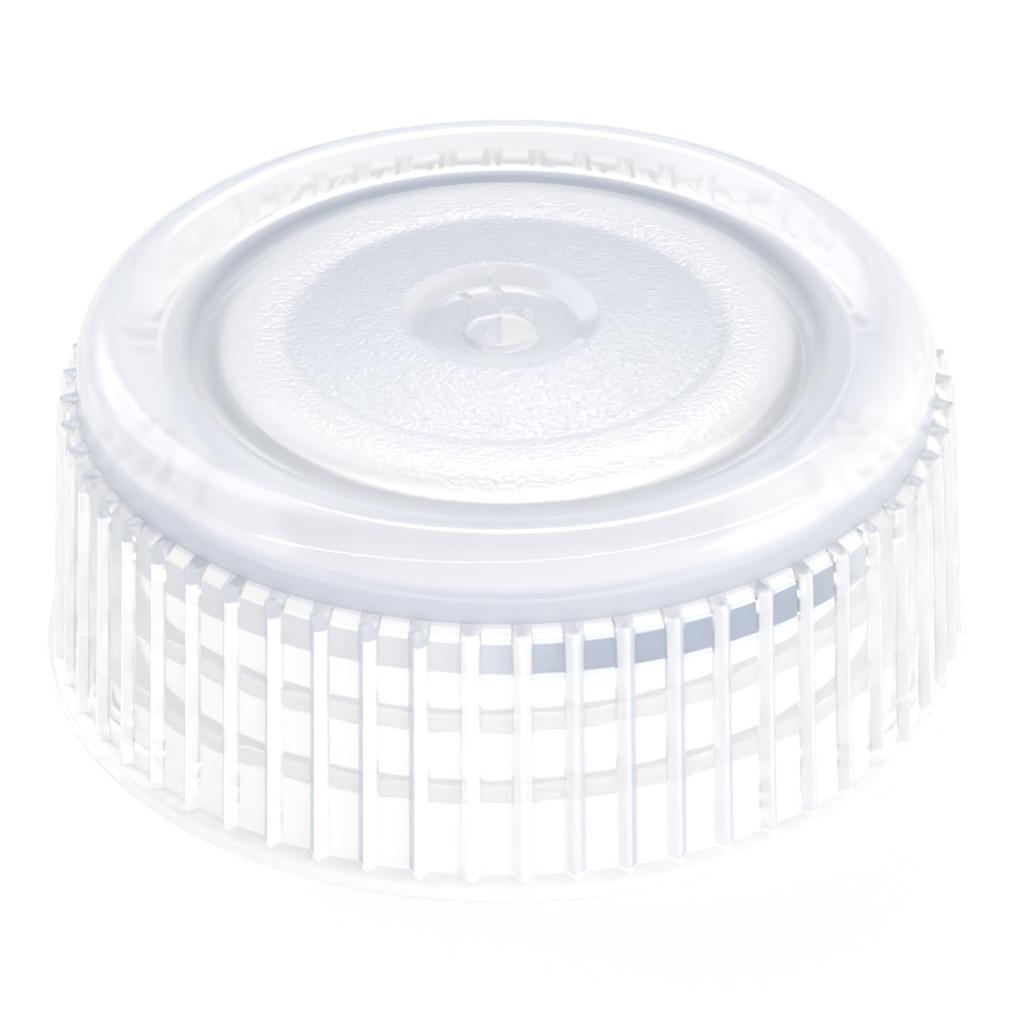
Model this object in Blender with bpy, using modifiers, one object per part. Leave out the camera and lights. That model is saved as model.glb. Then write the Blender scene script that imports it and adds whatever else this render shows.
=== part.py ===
# Screw cap for a wide bottle neck, moulded in one shot of natural polypropylene.
# It stands on its open rim, with the axis on +Z and the origin at the centre of the rim.
# Lengths are in metres.

import math

import bmesh
import bpy
from mathutils import Matrix

# Skirt, measured outwards from the bore
BORE_RADIUS = 0.0213
SKIRT_WALL = 0.00225
SKIRT_DRAFT = 0.00065
SKIRT_HEIGHT = 0.01545
BORE_LEAD_IN = 0.0005

# Plain rim band at the open end
RIM_HEIGHT = 0.0009
RIM_OVERHANG = 0.00037
RIM_LEDGE_RISE = 0.0003

# Grip ribs
RIB_COUNT = 56
RIB_HEIGHT = 0.00048
RIB_ROOT_WIDTH = 0.00105
RIB_CREST_WIDTH = 0.00025
RIB_TOP_CHAMFER = 0.0004
RIB_TOP_DROP = 0.00005
RIB_PHASE = math.radians(1.8)
ROOT_SINK = 0.00005

# Step and shoulder between the ribbed skirt and the crown
LEDGE_WIDTH = 0.00065
LEDGE_DROP = 0.00065
SHOULDER_HEIGHT = 0.002
SHOULDER_WALL = 0.002
EDGE_RADIUS = 0.0022

# Crown: raised ring, shallow valley, flat band and a slightly domed centre disc
RING_WIDTH = 0.00345
VALLEY_DEPTH = 0.00095
VALLEY_RISE = 0.0005
DISC_RADIUS = 0.01135
DISC_BAND_WIDTH = 0.0013
DISC_STEP = 0.00015
DISC_DOME = 0.0009
PANEL_THICKNESS = 0.0019

# Gate well sunk in the disc, with the low pad and stub where the sprue broke off
WELL_RADIUS = 0.00517
WELL_FLOOR_RADIUS = 0.00405
WELL_DEPTH = 0.00065
WELL_OFFSET = -0.0003
GATE_PAD_RADIUS = 0.0019
GATE_PAD_HEIGHT = 0.0003
GATE_STUB_RADIUS = 0.0006
GATE_STUB_HEIGHT = 0.0005

# Inside: the bore narrows under the shoulder, and a plug ring hangs from the ceiling
BORE_STEP_DROP = 0.0026
BORE_STEP_RISE = 0.0012
CEILING_FILLET = 0.0008
LIP_CHANNEL = 0.00255
PLUG_WALL = 0.001
PLUG_TAPER = 0.00035
PLUG_DEPTH = 0.0034

# Right-hand internal thread, six turns to the inch, one start
THREAD_PITCH = 0.0254 / 6
THREAD_TURNS = 1.7
THREAD_DEPTH = 0.00105
THREAD_ROOT_WIDTH = 0.0024
THREAD_CREST_WIDTH = 0.0008
THREAD_START_HEIGHT = 0.0039
THREAD_START_ANGLE = math.radians(135.0)
THREAD_FADE = math.radians(25.0)
THREAD_END_SHARE = 0.1
THREAD_SINK = 0.0003

# Resolution
SEGMENTS = RIB_COUNT
THREAD_STEPS_PER_TURN = SEGMENTS
ARC_STEPS = 5
BLEND_STEPS = 5
DISC_STEPS = 4
FILLET_STEPS = 3
TIP_STEPS = 4
WELL_SEGMENTS = 36
SHARP_ANGLE = math.radians(25.0)

# Radii and heights that follow
ROOT_FOOT_RADIUS = BORE_RADIUS + SKIRT_WALL
ROOT_TOP_RADIUS = ROOT_FOOT_RADIUS - SKIRT_DRAFT
RIM_RADIUS = ROOT_FOOT_RADIUS + RIB_HEIGHT + RIM_OVERHANG
SHOULDER_RADIUS = ROOT_TOP_RADIUS - LEDGE_WIDTH
UPPER_BORE_RADIUS = SHOULDER_RADIUS - SHOULDER_WALL
RING_RADIUS = SHOULDER_RADIUS - EDGE_RADIUS
VALLEY_RADIUS = RING_RADIUS - RING_WIDTH
BAND_RADIUS = DISC_RADIUS + DISC_BAND_WIDTH
PLUG_RADIUS = UPPER_BORE_RADIUS - LIP_CHANNEL

EDGE_CENTRE_HEIGHT = SKIRT_HEIGHT + SHOULDER_HEIGHT
RING_TOP = EDGE_CENTRE_HEIGHT + EDGE_RADIUS
VALLEY_FLOOR = RING_TOP - VALLEY_DEPTH
BAND_TOP = VALLEY_FLOOR + VALLEY_RISE
DISC_EDGE_TOP = BAND_TOP - DISC_STEP
DISC_TOP = DISC_EDGE_TOP + DISC_DOME
CEILING = VALLEY_FLOOR - PANEL_THICKNESS
BORE_STEP_HEIGHT = SKIRT_HEIGHT - BORE_STEP_DROP
WELL_RIM_HEIGHT = DISC_TOP - DISC_DOME * (WELL_RADIUS / DISC_RADIUS) ** 2

# Natural polypropylene: milky, slightly blue, lets part of the light through
NATURAL_PP = (0.83, 0.85, 0.88, 1.0)
NATURAL_PP_ROUGHNESS = 0.22
NATURAL_PP_IOR = 1.49
NATURAL_PP_TRANSMISSION = 0.6


def clear_scene():
    """Start from an empty file."""
    for old in list(bpy.data.objects):
        bpy.data.objects.remove(old, do_unlink=True)


def new_collection(name):
    """Add a collection under the scene's own."""
    collection = bpy.data.collections.new(name)
    bpy.context.scene.collection.children.link(collection)
    return collection


def natural_polypropylene():
    """Milky, slightly blue translucent plastic."""
    material = bpy.data.materials.new("natural_polypropylene")
    material.use_nodes = True
    shader = material.node_tree.nodes["Principled BSDF"]
    shader.inputs["Base Color"].default_value = NATURAL_PP
    shader.inputs["Roughness"].default_value = NATURAL_PP_ROUGHNESS
    shader.inputs["Metallic"].default_value = 0.0
    shader.inputs["IOR"].default_value = NATURAL_PP_IOR
    shader.inputs["Transmission Weight"].default_value = NATURAL_PP_TRANSMISSION
    return material


def arc(centre, radius, start, end, steps):
    """Points on a circular arc in the profile plane, both ends included."""
    points = []
    for i in range(steps + 1):
        angle = start + (end - start) * i / steps
        points.append((centre[0] + radius * math.cos(angle), centre[1] + radius * math.sin(angle)))
    return points


def blend(start, end, steps):
    """Points on an S-shaped slope that is level at both ends, without its first point."""
    points = []
    for i in range(1, steps + 1):
        share = i / steps
        rise = (1 - math.cos(math.pi * share)) / 2
        radius = start[0] + (end[0] - start[0]) * share
        points.append((radius, start[1] + (end[1] - start[1]) * rise))
    return points


def disc_points(drop):
    """Points of the domed centre disc from the axis out, lowered by a drop for its underside."""
    points = []
    for i in range(DISC_STEPS + 1):
        share = i / DISC_STEPS
        points.append((DISC_RADIUS * share, DISC_TOP - DISC_DOME * share**2 - drop))
    return points


def crown_profile():
    """Outer profile from the axis to the shoulder."""
    disc = disc_points(0.0)
    step = [(DISC_RADIUS + DISC_STEP, BAND_TOP), (BAND_RADIUS, BAND_TOP)]
    valley = blend((BAND_RADIUS, BAND_TOP), (VALLEY_RADIUS, VALLEY_FLOOR), BLEND_STEPS)
    ring = blend((VALLEY_RADIUS, VALLEY_FLOOR), (RING_RADIUS, RING_TOP), BLEND_STEPS)
    edge = arc((RING_RADIUS, EDGE_CENTRE_HEIGHT), EDGE_RADIUS, math.pi / 2, 0, ARC_STEPS)
    return disc + step + valley + ring + edge[1:]


def skirt_profile():
    """Outer profile from the foot of the shoulder to the open rim."""
    return [
        (SHOULDER_RADIUS, SKIRT_HEIGHT),
        (ROOT_TOP_RADIUS, SKIRT_HEIGHT - LEDGE_DROP),
        (ROOT_FOOT_RADIUS, RIM_HEIGHT + RIM_LEDGE_RISE),
        (RIM_RADIUS, RIM_HEIGHT),
        (RIM_RADIUS, 0.0),
    ]


def inner_profile():
    """Inner profile from the open rim up the bore, round the plug ring and back to the axis."""
    step_top = BORE_STEP_HEIGHT + BORE_STEP_RISE
    corner = (UPPER_BORE_RADIUS - CEILING_FILLET, CEILING - CEILING_FILLET)
    plug_tip = CEILING - PLUG_DEPTH
    tip_radius = PLUG_WALL / 2
    tip_centre = (PLUG_RADIUS - PLUG_TAPER - tip_radius, plug_tip + tip_radius)
    plug_inside = PLUG_RADIUS - PLUG_TAPER - PLUG_WALL
    underside = disc_points(PANEL_THICKNESS)[::-1]
    return (
        [(BORE_RADIUS + BORE_LEAD_IN, 0.0), (BORE_RADIUS, BORE_LEAD_IN), (BORE_RADIUS, BORE_STEP_HEIGHT)]
        + [(UPPER_BORE_RADIUS, step_top)]
        + arc(corner, CEILING_FILLET, 0, math.pi / 2, FILLET_STEPS)
        + [(PLUG_RADIUS, CEILING)]
        + arc(tip_centre, tip_radius, 0, -math.pi, TIP_STEPS)
        + [(plug_inside - PLUG_TAPER, CEILING)]
        + underside
    )


def well_profile():
    """Cutter for the gate well: it leaves the pad and the stub standing on the floor."""
    floor = WELL_RIM_HEIGHT - WELL_DEPTH
    pad_top = floor + GATE_PAD_HEIGHT
    stub_top = pad_top + GATE_STUB_HEIGHT
    above = DISC_TOP + WELL_DEPTH
    slope = (WELL_RADIUS - WELL_FLOOR_RADIUS) / WELL_DEPTH
    return [
        (0.0, above),
        (WELL_RADIUS + slope * (above - WELL_RIM_HEIGHT), above),
        (WELL_FLOOR_RADIUS, floor),
        (GATE_PAD_RADIUS + GATE_PAD_HEIGHT, floor),
        (GATE_PAD_RADIUS, pad_top),
        (GATE_STUB_RADIUS, pad_top),
        (GATE_STUB_RADIUS / 2, stub_top),
        (0.0, stub_top),
    ]


def turned(name, points, collection, segments):
    """Turn a profile in the XZ plane round Z with a Screw modifier."""
    mesh = bpy.data.meshes.new(name)
    edges = [(i, i + 1) for i in range(len(points) - 1)]
    mesh.from_pydata([(radius, 0.0, height) for radius, height in points], edges, [])
    body = bpy.data.objects.new(name, mesh)
    collection.objects.link(body)
    screw = body.modifiers.new("turn", "SCREW")
    screw.axis = "Z"
    screw.steps = segments
    screw.render_steps = segments
    screw.use_merge_vertices = True
    screw.merge_threshold = 0.00001
    return body


def as_cutter(body):
    """Show a helper as wire and keep it out of renders."""
    body.hide_render = True
    body.display_type = "WIRE"
    return body


def mesh_object(name, bm, collection):
    """Make an object from a finished bmesh."""
    bmesh.ops.recalc_face_normals(bm, faces=bm.faces[:])
    mesh = bpy.data.meshes.new(name)
    bm.to_mesh(mesh)
    bm.free()
    body = bpy.data.objects.new(name, mesh)
    collection.objects.link(body)
    return body


def rib(bm, angle):
    """One tapered grip rib: a block sunk in the wall, with its outer face drawn out to the crest."""
    block = bmesh.ops.create_cube(bm, size=1.0)["verts"]
    faces = {face for vert in block for face in vert.link_faces}
    outer = [face for face in faces if all(vert.co.x > 0 for vert in face.verts)]
    drawn = bmesh.ops.extrude_face_region(bm, geom=outer)["geom"]
    bmesh.ops.delete(bm, geom=outer, context="FACES")
    crest = [item for item in drawn if isinstance(item, bmesh.types.BMVert)]

    foot = RIM_HEIGHT / 2
    top = SKIRT_HEIGHT - RIB_TOP_DROP
    flank = (RIB_ROOT_WIDTH - RIB_CREST_WIDTH) / 2 / RIB_HEIGHT
    half_root = RIB_ROOT_WIDTH / 2 + ROOT_SINK * flank
    inner_radius = (BORE_RADIUS + SHOULDER_RADIUS) / 2
    for vert in block + crest:
        above = vert.co.z > 0
        root = ROOT_TOP_RADIUS if above else ROOT_FOOT_RADIUS
        if vert in crest:
            radius, half = root + RIB_HEIGHT, RIB_CREST_WIDTH / 2
        elif vert.co.x > 0:
            radius, half = root - ROOT_SINK, half_root
        else:
            radius, half = inner_radius, half_root
        vert.co = (radius, math.copysign(half, vert.co.y), top if above else foot)

    crest_end = [edge for edge in {e for v in crest for e in v.link_edges} if is_crest_end(edge, crest, top)]
    chamfered = bmesh.ops.bevel(bm, geom=crest_end, offset=RIB_TOP_CHAMFER, segments=1, affect="EDGES")
    verts = {vert for vert in block + crest if vert.is_valid} | set(chamfered["verts"])
    bmesh.ops.rotate(bm, verts=list(verts), cent=(0, 0, 0), matrix=Matrix.Rotation(angle, 3, "Z"))


def is_crest_end(edge, crest, top):
    """Whether an edge is the short one across the top end of a rib's crest."""
    return all(vert in crest and vert.co.z > top / 2 for vert in edge.verts)


def grip_ribs(collection):
    """All ribs, evenly spaced round the skirt."""
    bm = bmesh.new()
    for i in range(RIB_COUNT):
        rib(bm, 2 * math.pi * i / RIB_COUNT)
    return mesh_object("grip_ribs", bm, collection)


def thread_section(bm, angle, height, share):
    """Four corners of the thread's section; share shrinks its depth at the faded ends."""
    crest = BORE_RADIUS - THREAD_DEPTH * share
    slope = (THREAD_ROOT_WIDTH - THREAD_CREST_WIDTH) / 2 / THREAD_DEPTH
    back = BORE_RADIUS + THREAD_SINK
    half_crest = THREAD_ROOT_WIDTH / 2 - slope * THREAD_DEPTH * share
    half_back = THREAD_ROOT_WIDTH / 2 + slope * THREAD_SINK
    corners = [(back, -half_back), (crest, -half_crest), (crest, half_crest), (back, half_back)]
    verts = []
    for radius, rise in corners:
        verts.append(bm.verts.new((radius * math.cos(angle), radius * math.sin(angle), height + rise)))
    return verts


def internal_thread(collection):
    """A right-hand ridge lofted round the bore, fading out at both ends."""
    bm = bmesh.new()
    steps = round(THREAD_TURNS * THREAD_STEPS_PER_TURN)
    sweep = 2 * math.pi * THREAD_TURNS
    rings = []
    for i in range(steps + 1):
        turn = sweep * i / steps
        fade = min(1.0, THREAD_END_SHARE + min(turn, sweep - turn) / THREAD_FADE)
        height = THREAD_START_HEIGHT + THREAD_PITCH * turn / (2 * math.pi)
        rings.append(thread_section(bm, THREAD_START_ANGLE + turn, height, fade))
    for lower, upper in zip(rings, rings[1:]):
        for i in range(4):
            bm.faces.new((lower[i], lower[(i + 1) % 4], upper[(i + 1) % 4], upper[i]))
    bm.faces.new(rings[0])
    bm.faces.new(list(reversed(rings[-1])))
    return mesh_object("internal_thread", bm, collection)


def combine(body, other, operation):
    """Add an exact Boolean with another solid."""
    step = body.modifiers.new(other.name, "BOOLEAN")
    step.operation = operation
    step.solver = "EXACT"
    step.object = other


def apply_modifiers(body):
    """Replace the object's mesh by its evaluated one."""
    depsgraph = bpy.context.evaluated_depsgraph_get()
    mesh = bpy.data.meshes.new_from_object(body.evaluated_get(depsgraph))
    body.modifiers.clear()
    body.data = mesh


def build():
    """Model the cap as one closed body."""
    clear_scene()
    parts = new_collection("screw_cap_parts")
    cutters = new_collection("cutters")

    cap = turned("screw_cap", crown_profile() + skirt_profile() + inner_profile(), parts, SEGMENTS)
    ribs = as_cutter(grip_ribs(cutters))
    thread = as_cutter(internal_thread(cutters))
    well = as_cutter(turned("gate_well", well_profile(), cutters, WELL_SEGMENTS))
    well.location.x = WELL_OFFSET

    combine(cap, ribs, "UNION")
    combine(cap, thread, "UNION")
    combine(cap, well, "DIFFERENCE")
    apply_modifiers(cap)

    cap.rotation_euler.z = RIB_PHASE
    cap.data.materials.clear()
    cap.data.materials.append(natural_polypropylene())
    cap.data.shade_smooth()
    cap.data.set_sharp_from_angle(angle=SHARP_ANGLE)


build()
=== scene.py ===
"""A moulded screw cap of natural polypropylene on a white studio sweep, laid out as a Blender add-on.

The cap is one closed mesh. A wedge of it, one grip rib wide, is lofted between a groove profile and a rib
profile, repeated round the axis by Geometry Nodes, and the same tree raises the helical thread on the bore.
"""

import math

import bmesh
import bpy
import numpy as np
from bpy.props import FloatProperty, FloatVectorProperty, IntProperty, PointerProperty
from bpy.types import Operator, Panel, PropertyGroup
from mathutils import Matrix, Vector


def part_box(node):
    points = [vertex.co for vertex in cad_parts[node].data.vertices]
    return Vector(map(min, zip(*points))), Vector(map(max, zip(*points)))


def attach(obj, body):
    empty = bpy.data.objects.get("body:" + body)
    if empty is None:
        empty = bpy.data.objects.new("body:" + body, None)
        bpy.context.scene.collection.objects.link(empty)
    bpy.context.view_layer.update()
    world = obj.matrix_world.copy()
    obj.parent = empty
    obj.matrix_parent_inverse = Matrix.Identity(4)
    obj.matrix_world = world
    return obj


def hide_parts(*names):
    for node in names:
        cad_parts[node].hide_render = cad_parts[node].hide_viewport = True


bl_info = {
    "name": "Moulded screw cap",
    "version": (1, 0, 0),
    "blender": (4, 5, 0),
    "location": "View3D > Sidebar > Screw Cap",
    "description": "Builds a ribbed screw cap of natural polypropylene and the white stage that it stands on",
    "category": "Object",
}

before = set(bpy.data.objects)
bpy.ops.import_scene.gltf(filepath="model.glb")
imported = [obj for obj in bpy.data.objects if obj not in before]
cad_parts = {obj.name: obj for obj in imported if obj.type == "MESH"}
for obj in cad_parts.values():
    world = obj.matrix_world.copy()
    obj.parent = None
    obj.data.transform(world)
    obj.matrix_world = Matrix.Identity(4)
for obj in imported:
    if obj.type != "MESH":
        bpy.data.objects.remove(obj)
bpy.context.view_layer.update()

MM = 0.001

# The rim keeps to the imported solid's own reach
RIM_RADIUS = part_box("screw_cap")[1].x

# Merging distance for the wedges, far under the mesh's smallest edge, and what counts as the same angle
WELD_DISTANCE = 0.0000003
SAME_ANGLE = 1e-6
# Columns of vertices across a wedge where it has no rib
PLAIN_COLUMNS = 5
# Powers that widen a rib's crest in its top rows, from the shoulder down
RIB_TOP_POWERS = (1.0, 0.25, 0.25, 0.3, 0.5, 0.8)
SHARP_ANGLE = math.radians(35.0)

# Crown: height of the shoulder's upright band, depth of the valley, rise of the band beside the disc above
# the valley's floor, and thickness of the moulding under disc and valley
SHOULDER_RISE = 2.0 * MM
VALLEY_DEPTH = 0.95 * MM
BAND_RISE = 0.5 * MM
PANEL_WALL = 1.9 * MM

# Inside: lowest row, end and spacing of the rows of the bore's wall in millimetres, the cone above it, the
# narrower upper bore, and the channel and plug ring beside that
BORE_FOOT, BORE_TOP, BORE_ROW = 0.7, 12.05, 0.12
CONE_FOOT = 12.1 * MM
CONE_TOP = 15.25 * MM
UPPER_BORE_INSET = 3.35 * MM
CHANNEL_WIDTH = 2.55 * MM
PLUG_LENGTH = 2.9 * MM

# Thread: half widths of its section and the turns over which it fades out at both ends
THREAD_HALF_CREST = 0.12 * MM
THREAD_HALF_ROOT = 0.55 * MM
THREAD_FADE = 0.07
THREAD_START_ANGLE = math.radians(135.0)

# Gate well, in millimetres: how far it lies to the left and its pad to the front, and the pad's half widths
WELL_SHIFT = 0.3
PAD_SHIFT = 1.0
PAD_HALF_WIDTH = 2.05
PAD_HALF_DEPTH = 1.75

# The crown moves with the well inside the first radius and stays in place beyond the second; the pad, the
# loop and the ridges lie inside the third
MOVED_RADIUS = 6 * MM
STILL_RADIUS = 9 * MM
GATE_REACH = 5.0 * MM

POLYPROPYLENE_IOR = 1.49


def linear(hex_colour):
    """An sRGB hex colour as linear red, green, blue and alpha."""
    channels = [int(hex_colour[i:i + 2], 16) / 255 for i in (1, 3, 5)]
    return tuple(c / 12.92 if c <= 0.04045 else ((c + 0.055) / 1.055) ** 2.4 for c in channels) + (1.0,)


def size(name, value, description):
    """A length in metres for the sidebar."""
    return FloatProperty(
        name=name, description=description, default=value, min=0.0, precision=5, unit="LENGTH"
    )


def colour(name, hex_colour, description):
    """A colour for the sidebar."""
    return FloatVectorProperty(
        name=name, description=description, default=linear(hex_colour), size=4, min=0.0, max=1.0,
        subtype="COLOR",
    )


def share(name, value, description):
    """A share from 0 to 1 for the sidebar."""
    return FloatProperty(
        name=name, description=description, default=value, min=0.0, max=1.0, subtype="FACTOR"
    )


class CapSizes(PropertyGroup):
    """Sizes of the moulded cap."""

    bore_radius: size("Bore radius", 21.3 * MM, "Inner radius of the skirt between the thread turns")
    skirt_wall: size("Skirt wall", 2.25 * MM, "Wall at the foot of the grooves")
    skirt_draft: size("Skirt draft", 0.65 * MM, "How much narrower the grooves are at their top")
    skirt_height: size("Skirt height", 15.45 * MM, "Height of the ribbed skirt above the open rim")
    rim_height: size("Rim height", 0.9 * MM, "Height of the plain band at the open rim")
    rib_height: size("Rib height", 0.48 * MM, "How far a rib stands out of the grooves")
    rib_root: size("Rib root width", 1.05 * MM, "Width of a rib where it leaves the groove floor")
    rib_crest: size("Rib crest width", 0.24 * MM, "Width of the flat along a rib's crest")
    shoulder_radius: size("Shoulder radius", 22.25 * MM, "Radius of the smooth shoulder above the ribs")
    edge_radius: size("Edge radius", 2.2 * MM, "Rounding between the shoulder and the raised ring")
    valley_radius: size("Valley radius", 16.6 * MM, "Radius of the shallow valley's lowest line")
    disc_radius: size("Disc radius", 11.35 * MM, "Radius of the grained centre disc")
    crown_height: size("Crown height", 19.95 * MM, "Height of the dome's middle, before the gate well")
    disc_dome: size("Disc dome", 0.9 * MM, "Rise of the centre disc from its edge to its middle")
    well_radius: size("Well radius", 5.17 * MM, "Radius of the gate well at its rim")
    well_depth: size("Well depth", 0.65 * MM, "Depth of the gate well below its rim")
    thread_pitch: size("Thread pitch", 25.4 * MM / 6, "Rise of the thread in one turn, six turns to the inch")
    thread_depth: size("Thread depth", 1.05 * MM, "How far the thread stands into the bore")
    thread_start: size("Thread start", 3.5 * MM, "Height of the thread's middle at its lower end")
    thread_turns: FloatProperty(
        name="Thread turns", description="Length of the thread in turns", default=1.7, min=0.0, precision=2
    )
    rib_count: IntProperty(name="Ribs", description="Number of grip ribs round the skirt", default=56, min=3)
    rib_phase: FloatProperty(
        name="Rib phase", description="Turn of the whole rib pattern", default=math.radians(1.8),
        subtype="ANGLE",
    )


class CapFinish(PropertyGroup):
    """Colour and gloss of the plastic, with the light and shade painted on its ribs, shoulder band, groove
    tops and inner walls.
    """

    milk: colour("Milk", "#F0F0F2", "Colour of the light that the thick plastic scatters")
    thick_milk: colour("Thick milk", "#E6E7EC", "Light scattered back by the thick outer ring of the crown")
    disc_milk: colour("Disc milk", "#E8EAF0", "Light scattered back by the thin centre disc")
    torn: colour("Torn face", "#FDFBF4", "Colour of the dry, torn face of the gate's pad")
    # Painted shade: the greyer tone of the ribs on the cap's right half
    rib_shaded_right: colour("Rib milk", "#E6E8ED", "Light scattered back by the ribs on the cap's right")
    # Painted light on the ribs of the cap's left half; the rim takes the same white as its own tone
    rim_and_lit_rib_white: colour("Rib white", "#FAFAFB", "Light scattered back by the ribs on the cap's left")
    # Painted shade: the darker line on a rib's flank that turns away from the cap's middle
    rib_far_flank_shade: colour("Rib line", "#CCD4E0", "Light scattered back by the flank of a rib that turns away")
    # Painted blue-grey shade on the shoulder's upright band and on the rib tops at the front left
    shoulder_band_shade: colour("Shoulder milk", "#CDD2DC", "Light scattered back by shoulder band and rib tops")
    clear: colour("Clear", "#FFFFFF", "Colour of the light that goes straight through")
    clear_crown: colour("Clear crown", "#F5F7FB", "Colour of the light that goes straight through the crown")
    # Painted shade: the walls facing the inside of the cap, darker and bluer than the plastic, also laid on
    # the groove tops at the front right
    inside: colour("Inside", "#BED6FA", "Colour that the walls show towards the inside of the cap")
    clear_wall: share("Clear wall", 0.32, "Light that goes straight through the skirt between its ribs")
    clear_step: share("Clear step", 0.64, "Share of light that crosses the wall at the top of the grooves")
    clear_well: share("Clear well", 0.42, "Light that goes straight through the left of the gate well")
    clear_valley: share("Clear valley", 0.64, "Share of light that crosses the valley in the crown")
    clear_inside: share("Clear inside", 0.15, "Light that goes straight through from inside the cap")
    clear_thread: share("Clear thread", 0.12, "Light that leaves through the thread's ridge")
    clear_underside: share("Clear underside", 0.35, "Light that leaves through the ring under the crown")
    clear_rib: share("Clear rib", 0.1, "Light that goes straight through the thicker, milkier ribs")
    clear_thin: share("Clear thin crown", 0.3, "Light that goes straight through the crown's valley and disc")
    clear_thick: share("Clear thick crown", 0.12, "Light that goes straight through the crown's thick rings")
    polish: share("Polish", 0.06, "Roughness of the skirt and of the gate well")
    satin: share("Satin", 0.07, "Roughness of the crown")
    under_satin: share("Underside satin", 0.4, "Roughness of the crown's underside and of the plug ring")
    disc_satin: share("Disc satin", 0.1, "Roughness of the grained disc")
    grain_size: size("Grain size", 0.3 * MM, "Width of the grains on the centre disc")
    grain_height: size("Grain height", 0.08 * MM, "Height of the grains on the centre disc")


class StageLook(PropertyGroup):
    """Floor and surroundings of the studio."""

    floor: colour("Floor", "#FFFFFF", "Colour of the studio floor")
    surroundings: colour("Surroundings", "#D7D8DA", "Colour of the studio's pale walls and ceiling")


def add_node(tree, kind, settings=None, inputs=None):
    """Add a node with its settings and its inputs, each a value or the socket that feeds it."""
    node = tree.nodes.new(kind)
    for name, value in (settings or {}).items():
        setattr(node, name, value)
    for socket, value in (inputs or {}).items():
        if isinstance(value, bpy.types.NodeSocket):
            tree.links.new(value, node.inputs[socket])
        else:
            node.inputs[socket].default_value = value
    return node


# What a row of a node table can build besides a sum: the kind of node, its settings, the sockets of the
# row's inputs and the socket of its result. A mask is 0 at its second input and 1 at its third
STEPS = {
    "mask": ("ShaderNodeMapRange", {"interpolation_type": "SMOOTHSTEP"}, (0, 1, 2), 0),
    "blend": ("ShaderNodeMix", {"data_type": "FLOAT"}, (0, 2, 3), 0),
    "tint": ("ShaderNodeMix", {"data_type": "RGBA"}, (0, 6, 7), 2),
    "x of": ("ShaderNodeSeparateXYZ", {}, (0,), "X"),
    "y of": ("ShaderNodeSeparateXYZ", {}, (0,), "Y"),
    "z of": ("ShaderNodeSeparateXYZ", {}, (0,), "Z"),
    "vector": ("ShaderNodeCombineXYZ", {}, (0, 1, 2), 0),
    "stretch": ("ShaderNodeVectorMath", {"operation": "MULTIPLY_ADD"}, (0, 1, 2), "Vector"),
    "direction": ("ShaderNodeVectorMath", {"operation": "NORMALIZE"}, (0,), "Vector"),
    "cross": ("ShaderNodeVectorMath", {"operation": "CROSS_PRODUCT"}, (0, 1), "Vector"),
    "length": ("ShaderNodeVectorMath", {"operation": "LENGTH"}, (0,), "Value"),
    "distance": ("ShaderNodeVectorMath", {"operation": "DISTANCE"}, (0, 1), "Value"),
    "dot": ("ShaderNodeVectorMath", {"operation": "DOT_PRODUCT"}, (0, 1), "Value"),
}


def add_steps(tree, known, rows):
    """Add a node for each row and keep its result under the row's name, where later rows find it.

    A row holds its name, what it builds and its inputs: values, or the names of earlier results.
    """
    for name, step, *inputs in rows:
        as_sum = ("ShaderNodeMath", {"operation": step}, (0, 1, 2), 0)
        kind, settings, sockets, result = STEPS.get(step, as_sum)
        sources = [known[value] if isinstance(value, str) else value for value in inputs]
        known[name] = add_node(tree, kind, settings, dict(zip(sockets, sources))).outputs[result]


def arc(centre, radius, start, end, steps):
    """Points of an arc in the profile plane, both ends included; angles in degrees."""
    angles = np.radians(np.linspace(start, end, steps + 1))
    return [(centre[0] + radius * math.cos(a), centre[1] + radius * math.sin(a)) for a in angles]


def slope(start, end, steps):
    """Points of an S-shaped slope that is level at both ends, without its first point."""
    points = []
    for run in np.linspace(0, 1, steps + 1)[1:]:
        rise = (1 - math.cos(math.pi * run)) / 2
        points.append((start[0] + (end[0] - start[0]) * run, start[1] + (end[1] - start[1]) * rise))
    return points


def straight(start, end, steps):
    """Points of a straight line without its first point."""
    runs = np.linspace(0, 1, steps + 1)[1:]
    return [(start[0] + (end[0] - start[0]) * run, start[1] + (end[1] - start[1]) * run) for run in runs]


def disc_height(s, radius):
    """Height of the domed centre disc at a radius."""
    return s.crown_height - s.disc_dome * (radius / s.disc_radius) ** 2


def valley_height(s):
    """Height of the valley's floor."""
    return s.skirt_height + SHOULDER_RISE + s.edge_radius - VALLEY_DEPTH


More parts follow.
